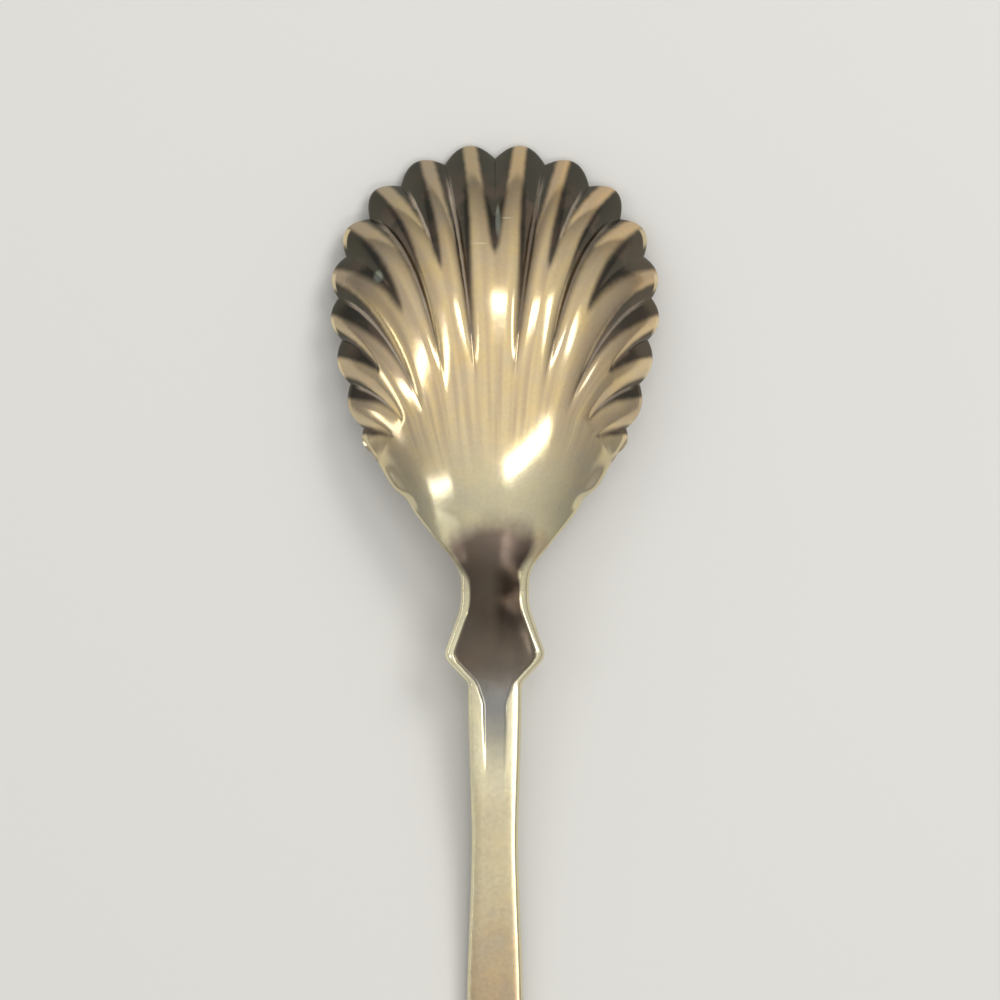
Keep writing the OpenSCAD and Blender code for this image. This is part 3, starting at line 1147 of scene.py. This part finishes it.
@dataclass(frozen=True)
class FluteTone:
    """The tones of the fluted bowl: gold fingers, dark flanks between them that are painted dark reflections
    and shade with some brown tarnish, and pale lines in the valleys that are painted highlights.

    The fingers are drawn over q, which counts lobes from the middle line: at an even q lies a fork, and at an
    odd q a groove. v goes from 0 at the roots of the flutes to 1 at the rim.
    """

    line_ragged: float = 0.05
    line_share: float = 0.85
    line_right: float = 0.4
    fork_line_at: float = 1.96
    streaks_across: float = 1.9
    streaks_out: float = 1.4
    streaks_along: float = 0.04
    lean: float = 0.21
    lean_back: float = 0.05
    softness: float = 0.34
    softness_fall: float = 0.22
    side_fade: float = 0.58
    fork_early: float = 0.16
    fork_power: float = 0.6
    fork_width: float = 0.34
    groove_least: float = 0.08
    groove_more: float = 0.27
    ragged: float = 0.06
    streaky: float = 0.12
    side_line: float = 0.5
    cream_drift: float = 14.0
    rosy: float = 0.55
    brown: float = 0.8
    foot_pale: float = 0.6
    right_pale: float = 0.45
    hook_share: float = 0.8
    spots: tuple[Spot, ...] = (
        # Painted bluish glints.
        Spot(Oval(0.35, 9.2, 0.3, 1.8), Silver.PAINTED_BLUE_GLINT, 0.6),
        Spot(Oval(-13.4, 15.5, 0.55, 0.7), Silver.PAINTED_BLUE_GLINT, 0.5),
        Spot(Oval(-10.2, 36.9, 2.2, 4.4), Silver.ROSE, 0.25),
        Spot(Oval(10.9, 37.4, 2.4, 3.8), Silver.ROSE, 0.15),
        Spot(Oval(5.2, 46.6, 1.2, 2.2), Silver.ORANGE, 0.35),
        # Painted shade that dims a highlight on the heel.
        Spot(Oval(-5.4, 45.2, 1.9, 2.9), Silver.PAINTED_SHADE_CREAM, 0.6),
        Spot(Oval(1.4, 8.8, 0.65, 0.1), Silver.SCRATCH, 0.9),
        Spot(Oval(-1.75, 11.8, 0.9, 0.1), Silver.SCRATCH, 0.8),
    )

    def lines(self, recipe: Recipe, x: Wire) -> Wire:
        """Share of the pale lines in the valleys between the fingers and along the forks, which are painted
        highlights in place of the glints there.

        Args:
            recipe: The recipe that takes the nodes.
            x: Place across the spoon from its middle line, in millimetres.

        Returns:
            The share, from 0 to 1.
        """
        q, v, _ = recipe.mark("flutes")
        ragged = recipe.cloud(Cloud.LINES) * self.line_ragged
        groove = 1 - (1 - q.fold(1) + ragged).over(Span.GROOVE_LINE_SIDE)
        groove = groove * v.over(Span.GROOVE_LINE_START) * (1 - v.over(Span.GROOVE_LINE_STOP))
        fork = 1 - ((q - self.fork_line_at).size() + ragged).over(Span.FORK_LINE_SIDE)
        fork = fork * v.over(Span.FORK_LINE_START) * (1 - v.over(Span.FORK_LINE_STOP))
        return groove.most(fork) * (1 - x.over(Span.LINES_RIGHT) * self.line_right)

    def dark(self, recipe: Recipe, q: Wire, v: Wire, fork: Wire, streaks: Wire) -> Wire:
        """Share of the dark flanks, which are painted dark reflections and shade: wedges that open along the
        forks, and bands along the grooves.

        Args:
            recipe: The recipe that takes the nodes.
            q: Place among the lobes, counted from the middle line.
            v: Way along the flutes, from 0 at their roots to 1 at the rim.
            fork: Way along the nearest fork, from 0 at its tip to 1 at the rim.
            streaks: A streaky random pattern around zero.

        Returns:
            The share, from 0 to 1.
        """
        ragged = recipe.cloud(Cloud.RAGGED)
        lean = q.over(Span.LEAN_RISE) * (1 - q.over(Span.LEAN_FALL)) * self.lean
        lean = lean - q.over(Span.LEAN_BACK) * self.lean_back
        valley = (q + lean * v.over(Span.LEAN_START)).fold(1)
        soft = self.softness - v * self.softness_fall
        side_fade = 1 - q.over(Span.SIDE_FADE) * self.side_fade
        fork_half = (fork + self.fork_early).most(0) ** self.fork_power * self.fork_width * side_fade
        fork_side = (fork_half - valley + ragged * self.ragged) / soft
        groove_half = (self.groove_least + v.over(Span.GROOVE_WIDEN) * self.groove_more) * side_fade
        groove_side = groove_half - (1 - valley) + ragged * self.ragged + streaks * self.streaky
        groove_side = groove_side / soft
        fork_dark = fork_side.over(Span.CENTRED) * fork.over(Span.FORK_START)
        return fork_dark.most(groove_side.over(Span.CENTRED) * v.over(Span.GROOVE_START))

    def gold(self, recipe: Recipe, x: Wire, t: Wire, q: Wire, v: Wire, streaks: Wire) -> Wire:
        """Colour of the fingers: gold that turns to the rim's tones, and to cream on the heel.

        Args:
            recipe: The recipe that takes the nodes.
            x: Place across the spoon from its middle line, in millimetres.
            t: Distance from the tip of the bowl, in millimetres.
            q: Place among the lobes, counted from the middle line.
            v: Way along the flutes, from 0 at their roots to 1 at the rim.
            streaks: A streaky random pattern around zero.

        Returns:
            The colour.
        """
        # Painted shade and highlight: the fingers turn darker towards the rim and on the left, and lighter on
        # the rims of the side lobes.
        rim = recipe.blend(x.over(Span.RIM_ACROSS), Silver.RIM_LEFT, Silver.RIM_RIGHT)
        rim = recipe.blend(q.over(Span.SIDE_LINE) * self.side_line, rim, Silver.RIM_LINE)
        gold = recipe.blend(v.over(Span.RIM_START), Silver.GOLD, rim)
        heel = t + recipe.cloud(Cloud.HEEL) * self.cream_drift
        gold = recipe.blend(heel.over(Span.CREAM_START), gold, Silver.CREAM)
        rosy = streaks.over(Span.STREAK) * (1 - t.over(Span.ROSE_STOP)) * self.rosy
        return recipe.blend(rosy, gold, Silver.ROSE)

    def flank(self, recipe: Recipe, x: Wire, q: Wire, v: Wire) -> Wire:
        """Colour of the dark flanks, painted dark reflections and shade with some brown tarnish: browner in
        places, and paler at their roots and on the right.

        Args:
            recipe: The recipe that takes the nodes.
            x: Place across the spoon from its middle line, in millimetres.
            q: Place among the lobes, counted from the middle line.
            v: Way along the flutes, from 0 at their roots to 1 at the rim.

        Returns:
            The colour.
        """
        brown = recipe.cloud(Cloud.BROWNING).over(Span.BROWN_CLOUD) * (1 - v.over(Span.BROWN_STOP))
        flank = recipe.blend(brown * self.brown, Silver.FLANK, Silver.FLANK_BROWN)
        depth = v.over(Span.FLANK_DEEPEN) * (1 - q.over(Span.FOOT_PALE) * self.foot_pale)
        depth = depth * (1 - x.over(Span.FLANK_RIGHT) * self.right_pale)
        return recipe.blend(depth, Silver.GROOVE, flank)

    def painted_rim_highlights(self, q: Wire, v: Wire) -> Wire:
        """Share of the painted highlights that hook along the rim of the side lobes.

        Args:
            q: Place among the lobes, counted from the middle line.
            v: Way along the flutes, from 0 at their roots to 1 at the rim.

        Returns:
            The share, from 0 to 1.
        """
        past = q.fraction()
        hook = v.over(Span.HOOK_EDGE) * past.over(Span.HOOK_RISE) * (1 - past.over(Span.HOOK_FALL))
        return hook * q.over(Span.HOOK_FROM) * (1 - q.over(Span.HOOK_TO)) * self.hook_share

    def color(self, recipe: Recipe, x: Wire, t: Wire) -> Wire:
        """Colour of the bowl before the panel.

        Args:
            recipe: The recipe that takes the nodes.
            x: Place across the spoon from its middle line, in millimetres.
            t: Distance from the tip of the bowl, in millimetres.

        Returns:
            The colour.
        """
        q, v, fork = recipe.mark("flutes")
        across = q * x.sign() * self.streaks_across
        streaks = recipe.streaks(across, v * self.streaks_out + t * self.streaks_along)
        gold, flank = self.gold(recipe, x, t, q, v, streaks), self.flank(recipe, x, q, v)
        # Painted dark reflections and shade on the flanks, partly tarnish.
        color = recipe.blend(self.dark(recipe, q, v, fork, streaks), gold, flank)
        # Painted highlights along the valleys.
        color = recipe.blend(self.lines(recipe, x) * self.line_share, color, Silver.PALE_LINE)
        # Painted highlights that hook along the rim of the side lobes.
        color = recipe.blend(self.painted_rim_highlights(q, v), color, Silver.RIM_LINE)
        for spot in self.spots:
            color = recipe.blend((1 - spot.oval.way(x, t).over(Span.SPOT)) * spot.share, color, spot.tone)
        return color


@dataclass(frozen=True)
class HandleTone:
    """The tones of the neck and the handle: brown half way along, bright at the edges, partly wear and partly
    painted highlight, and a painted highlight on the left of the neck.
    """

    drift: float = 10.0
    brown_back: float = 0.75
    edge_ragged: float = 0.3
    edge_share: float = 0.7

    def color(self, recipe: Recipe, x: Wire, t: Wire, inset: Wire) -> Wire:
        """Colour of the neck and the handle before the panel.

        Args:
            recipe: The recipe that takes the nodes.
            x: Place across the spoon from its middle line, in millimetres.
            t: Distance from the tip of the bowl, in millimetres.
            inset: Distance from the side edge, in millimetres.

        Returns:
            The colour.
        """
        drift = t + recipe.cloud(Cloud.DRIFT) * self.drift
        brown = drift.over(Span.BROWN_START) * (1 - drift.over(Span.BROWN_BACK) * self.brown_back)
        wear_and_edge_sheen = recipe.blend(brown, Silver.STEM, Silver.STEM_LOW)
        # Brighter edges: partly wear, partly painted highlight along the edge lines.
        edge = 1 - (inset + recipe.cloud(Cloud.WORN_EDGE_AND_SHEEN) * self.edge_ragged).over(Span.EDGE_WEAR_AND_SHEEN)
        wear_and_edge_sheen = recipe.blend(edge * self.edge_share, wear_and_edge_sheen, Silver.BORDER)
        # Painted highlight: the left side of the neck and the start of the stem are lighter, where the light
        # catches them.
        left = t.over(Span.FACET_START) * (1 - x.over(Span.FACET_LEFT))
        facet = recipe.blend(left, Silver.FACET, Silver.BORDER)
        return recipe.blend(t.over(Span.STEM_START), facet, wear_and_edge_sheen)


@dataclass(frozen=True)
class PanelShadeAndTarnish:
    """The panel's painted dark reflections and shade, partly tarnish: soft on the bowl, crisp between the
    neck's borders, and fading out as a tongue.
    """

    bowl_lean: float = 0.11
    bowl_wisps: float = 1.4
    bowl_softness: float = 0.9
    neck_softness: float = 0.35
    arch: float = 0.055
    start_wisps: float = 3.0
    stop_wisps: float = 2.0
    right_wisps: float = 2.0
    right_deep: float = 0.85
    low_share: float = 0.8
    low_wisps: float = 0.8

    def mask(self, x: Wire, t: Wire, inside: Wire, wisps: Wire) -> Wire:
        """Share of the panel's painted shade over the silver's own colour.

        Args:
            x: Place across the spoon from its middle line, in millimetres.
            t: Distance from the tip of the bowl, in millimetres.
            inside: Distance inside the panel's side, in millimetres.
            wisps: A wispy random pattern around zero.

        Returns:
            The share, from 0 to 1.
        """
        on_bowl = 1 - t.over(Span.WAIST)
        inside = inside - x * on_bowl * self.bowl_lean + wisps * on_bowl * self.bowl_wisps
        side = (inside / (on_bowl * self.bowl_softness + self.neck_softness)).over(Span.CENTRED)
        start = (t - x * x * self.arch + wisps * self.start_wisps).over(Span.PANEL_START)
        return side * start * (1 - (t + wisps * self.stop_wisps).over(Span.TONGUE_STOP))

    def color(self, recipe: Recipe, x: Wire, t: Wire, wisps: Wire) -> Wire:
        """Colour of the panel's painted shade, which is darkest at the waist and paler on its tongue.

        Args:
            recipe: The recipe that takes the nodes.
            x: Place across the spoon from its middle line, in millimetres.
            t: Distance from the tip of the bowl, in millimetres.
            wisps: A wispy random pattern around zero.

        Returns:
            The colour.
        """
        # Painted shade: darker on the right of the panel, where it dims a reflection.
        right = (x + wisps * self.right_wisps).over(Span.PANEL_RIGHT) * self.right_deep
        deep = recipe.blend(right, Silver.PANEL, Silver.PANEL_DEEP)
        color = recipe.blend(t.over(Span.PANEL_DEEPEN), Silver.PANEL_TOP, deep)
        low = t.over(Span.PANEL_PALE) * self.low_share + wisps * self.low_wisps
        color = recipe.blend(low.most(0).least(1), color, Silver.PANEL_LOW)
        return recipe.blend((t + wisps * self.start_wisps).over(Span.TONGUE_START), color, Silver.TONGUE)


@dataclass(frozen=True)
class Wear:
    """The silver's polish and its fine marks."""

    grain: float = 0.14
    mottle: float = 0.22
    mottle_hue: float = 0.5
    rough: float = 0.15
    rough_clouds: float = 0.1
    rough_panel: float = 0.05
    rough_stem: float = 0.06
    rough_oval: Oval = Oval(-5.5, 45.8, 1.9, 2.7)
    rough_oval_more: float = 0.12
    rough_most: float = 0.262
    bump_waves: float = 0.6
    bump_grain: float = 0.12
    bump_height_m: float = 0.00003
    bump_strength: float = 0.5

    def mottled(self, recipe: Recipe, t: Wire, color: Wire, grain: Wire) -> Wire:
        """The colour with its fine grain and its soft clouds of tone.

        Args:
            recipe: The recipe that takes the nodes.
            t: Distance from the tip of the bowl, in millimetres.
            color: The even colour.
            grain: A fine random pattern around zero.

        Returns:
            The mottled colour.
        """
        mottle = recipe.cloud(Cloud.MOTTLE)
        fine = t.over(Span.GRAIN_MORE) * self.grain + self.grain
        value, saturation = grain * fine + mottle * self.mottle + 1.0, mottle * self.mottle_hue + 1.0
        inputs = {"Value": value, "Saturation": saturation, "Color": color}
        return recipe.node("HueSaturation", {}, inputs, "Color")

    def roughness(self, recipe: Recipe, x: Wire, t: Wire, mask: Wire) -> Wire:
        """How dull the metal is: a little more on the panel, the stem and one oval of the heel.

        Args:
            recipe: The recipe that takes the nodes.
            x: Place across the spoon from its middle line, in millimetres.
            t: Distance from the tip of the bowl, in millimetres.
            mask: Share of the panel, from 0 to 1.

        Returns:
            The roughness, from 0 to 1.
        """
        oval = (1 - self.rough_oval.way(x, t).over(Span.DULL_OVAL)) * self.rough_oval_more
        rough = recipe.cloud(Cloud.DULLNESS) * self.rough_clouds + self.rough + mask * self.rough_panel
        return (rough + t.over(Span.STEM_DULL) * self.rough_stem + oval).least(self.rough_most)

    def bump(self, recipe: Recipe, grain: Wire) -> Wire:
        """Slopes of the fine waves and the grain.

        Args:
            recipe: The recipe that takes the nodes.
            grain: A fine random pattern around zero.

        Returns:
            The slopes, for the surface's own Normal.
        """
        height = recipe.cloud(Cloud.WAVES) * self.bump_waves + grain * self.bump_grain
        inputs = {"Height": height, "Distance": self.bump_height_m, "Strength": self.bump_strength}
        return recipe.node("Bump", {}, inputs)


@dataclass(frozen=True)
class SilverWearAndPaintedLight:
    """Polished silver with wear and tarnish, and with painted dark reflections and shade in its hollows and
    on its panel, and painted highlights on its rims, valleys and edges.
    """

    spoon_len: float
    fluted: bool
    flutes: FluteTone = FluteTone()
    handle: HandleTone = HandleTone()
    panel: PanelShadeAndTarnish = PanelShadeAndTarnish()
    wear: Wear = Wear()
    line_dull: float = 0.6

    def places(self, recipe: Recipe) -> tuple[Wire, Wire]:
        """x across the spoon and the distance t from the tip of the bowl, in millimetres."""
        x, y, _ = recipe.split(recipe.here())
        return x * MM_PER_M, self.spoon_len / 2 - y * MM_PER_M

    def material(self, name: str) -> bpy.types.Material:
        """The finish of one piece.

        Args:
            name: The material's name.

        Returns:
            The material.
        """
        recipe = Recipe(bpy.data.materials.new(name))
        x, t = self.places(recipe)
        inside, inset, back = recipe.mark("panel")
        if self.fluted:
            color = self.flutes.color(recipe, x, t)
            # The pale valley lines are painted highlights, made less metallic so that they stay pale.
            metal: Number = 1 - self.flutes.lines(recipe, x) * self.line_dull
        else:
            color = self.handle.color(recipe, x, t, inset)
            metal = 1.0
        wisps, grain = recipe.cloud(Cloud.WISPS), recipe.cloud(Cloud.GRAIN)
        # The panel's painted dark reflections and shade, partly tarnish, on the back only.
        mask = self.panel.mask(x, t, inside, wisps) * back
        color = recipe.blend(mask, color, self.panel.color(recipe, x, t, wisps))
        color = self.wear.mottled(recipe, t, color, grain)
        rough, bump = self.wear.roughness(recipe, x, t, mask), self.wear.bump(recipe, grain)
        return recipe.finish(color, {"Metallic": metal, "Roughness": rough, "Normal": bump})


@dataclass(frozen=True)
class Lamp:
    """A soft square lamp that shines at the middle of the view."""

    name: str
    direction: Point
    distance: float
    size: Pair
    radiance: float
    along: Point = (1, 0, 0)
    color: Point = (1, 1, 1)
    mirrored: bool = True

    def hung(self, aim: Vector) -> bpy.types.Object:
        """Hangs the lamp.

        Args:
            aim: The place that it shines at, in metres.

        Returns:
            The lamp's object.
        """
        data = bpy.data.lights.new(self.name, "AREA")
        data.shape, data.size, data.size_y = "RECTANGLE", self.size[0], self.size[1]
        data.energy = self.radiance * math.pi * self.size[0] * self.size[1]
        data.color = self.color
        lamp = bpy.data.objects.new(self.name, data)
        bpy.context.scene.collection.objects.link(lamp)
        out = Vector(self.direction).normalized()
        lamp.location = aim + out * self.distance
        side = Vector(self.along)
        side = (side - out * side.dot(out)).normalized()
        lamp.rotation_euler = Matrix((side, out.cross(side), out)).transposed().to_euler()
        lamp.visible_camera = False
        lamp.visible_glossy = self.mirrored
        return lamp


@dataclass(frozen=True)
class Studio:
    """The pale table, the soft light over it and the camera that looks straight down."""

    view_center: Point = (0.58, 34.87, 0.0)
    view_width: float = 116.2
    camera_height: float = 620.0
    film_width: float = 36.0
    near_limit_m: float = 0.01
    table_width_m: float = 6.0
    table_drop_m: float = 0.00003
    table_tone: tuple[float, ...] = tint(205, 204, 200)
    table_roughness: float = 0.8
    horizon: tuple[float, ...] = (0.30, 0.30, 0.31, 1.0)
    zenith: tuple[float, ...] = (0.88, 0.87, 0.85, 1.0)
    zenith_from: float = 0.95
    lamps: tuple[Lamp, ...] = (
        Lamp("lower_right_lamp", (0.36, -0.33, 0.87), 0.7, (0.42, 0.10), 4.6,
             (0.90, 0.39, -0.22), (1.0, 0.98, 0.95)),
        Lamp("lower_left_lamp", (-0.688, -0.512, 0.51), 0.7, (0.27, 0.042), 3.3, (0.27, 0.0, 0.41)),
        Lamp("upper_lamp", (0.07, 0.405, 0.91), 0.7, (0.22, 0.065), 6.0, (1, 0, 0)),
        Lamp("left_lamp", (-0.70, 0.12, 0.70), 0.7, (0.30, 0.07), 4.5, (0.25, 0.20, 0.25)),
        Lamp("right_lamp", (0.62, 0.28, 0.73), 0.7, (0.12, 0.08), 4.0, (0, 1, 0), (0.86, 0.94, 1.0)),
        Lamp("low_left_lamp", (-0.955, -0.12, 0.24), 0.7, (0.26, 0.05), 3.0, (0, 1, 0)),
        Lamp("key_softbox", (0.50, 0.50, 0.70), 0.9, (0.34, 0.34), 9.0, (1, 0, 0), (1.0, 0.99, 0.97), False),
    )

    def table(self) -> bpy.types.Object:
        """The pale table, a hair under the spoon so that the two never share a plane.

        Returns:
            The table's object.
        """
        bpy.ops.object.select_all(action="DESELECT")
        bpy.ops.mesh.primitive_plane_add(size=self.table_width_m, location=(0, 0, -self.table_drop_m))
        floor = bpy.context.object
        floor.name = floor.data.name = "table_top"
        recipe = Recipe(bpy.data.materials.new("pale_table"))
        floor.data.materials.append(recipe.finish(self.table_tone, {"Roughness": self.table_roughness}))
        return floor

    def sky(self) -> None:
        """A pale surround that is brightest overhead."""
        recipe = Recipe(bpy.data.worlds.new("studio_surround"))
        _, _, up = recipe.split(recipe.node("TexCoord", {}, {}, "Generated"))
        stops = ((0.0, self.horizon), (self.zenith_from, self.zenith))
        color = recipe.node("ValToRGB", {"stops": stops}, {"Fac": up}, "Color")
        recipe.add("OutputWorld", {}, {"Surface": recipe.node("Background", {}, {"Color": color})})
        bpy.context.scene.world = recipe.owner

    def camera(self) -> bpy.types.Object:
        """The camera, which looks straight down with the tip of the bowl at the top.

        Returns:
            The camera's object.
        """
        data = bpy.data.cameras.new("portrait_camera")
        data.sensor_width, data.sensor_height, data.sensor_fit = self.film_width, self.film_width, "AUTO"
        data.lens = self.film_width * self.camera_height / self.view_width
        data.clip_start = self.near_limit_m
        camera = bpy.data.objects.new("portrait_camera", data)
        bpy.context.scene.collection.objects.link(camera)
        camera.location = (self.view_center[0] * MM, self.view_center[1] * MM, self.camera_height * MM)
        bpy.context.scene.camera = camera
        return camera

    def set_up(self) -> None:
        """Builds the whole studio."""
        self.table()
        self.sky()
        aim = Vector(self.view_center) * MM
        for lamp in self.lamps:
            lamp.hung(aim)
        self.camera()
        bpy.context.scene.view_settings.view_transform = "Standard"


@dataclass(frozen=True)
class Dressing:
    """Which piece stands for which node of the frame, and its finish."""

    piece: bpy.types.Object
    node: str
    slot: str
    material: bpy.types.Material

    def put_on(self) -> None:
        """Gives the piece its finish and hands it to the frame."""
        self.piece.data.materials.append(self.material)
        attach(self.piece, "root")
        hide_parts(self.node)
        LOG.info("%s: %d faces, stands for %s", self.piece.name, len(self.piece.data.polygons), self.node)


def main() -> None:
    """Builds the pieces, dresses them and hands them to the frame."""
    logging.basicConfig(level=logging.INFO, format="%(message)s")
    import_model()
    Studio().set_up()
    form = SpoonForm()
    neck = Stretch(form, "panelled_neck", evenly(form.bowl_len, form.neck_end, NECK_ROWS))
    stem = Stretch(form, "slim_stem", evenly(form.neck_end, form.stem_end, STEM_ROWS))
    end = Stretch(form, "rounded_end", end_places(form))
    bowl_silver = SilverWearAndPaintedLight(form.spoon_len, fluted=True).material("silver_bowl_wear_and_painted_light")
    handle_silver = SilverWearAndPaintedLight(form.spoon_len, fluted=False).material("silver_handle_wear_and_painted_light")
    for dressing in (
        Dressing(Bowl(form).made(), "bowl", "bowl_silver", bowl_silver),
        Dressing(neck.made(), "neck", "neck_silver", handle_silver),
        Dressing(stem.made(), "stem", "handle_silver", handle_silver),
        Dressing(end.made(), "handle_end", "handle_silver", handle_silver),
    ):
        dressing.put_on()


if __name__ == "__main__":
    main()
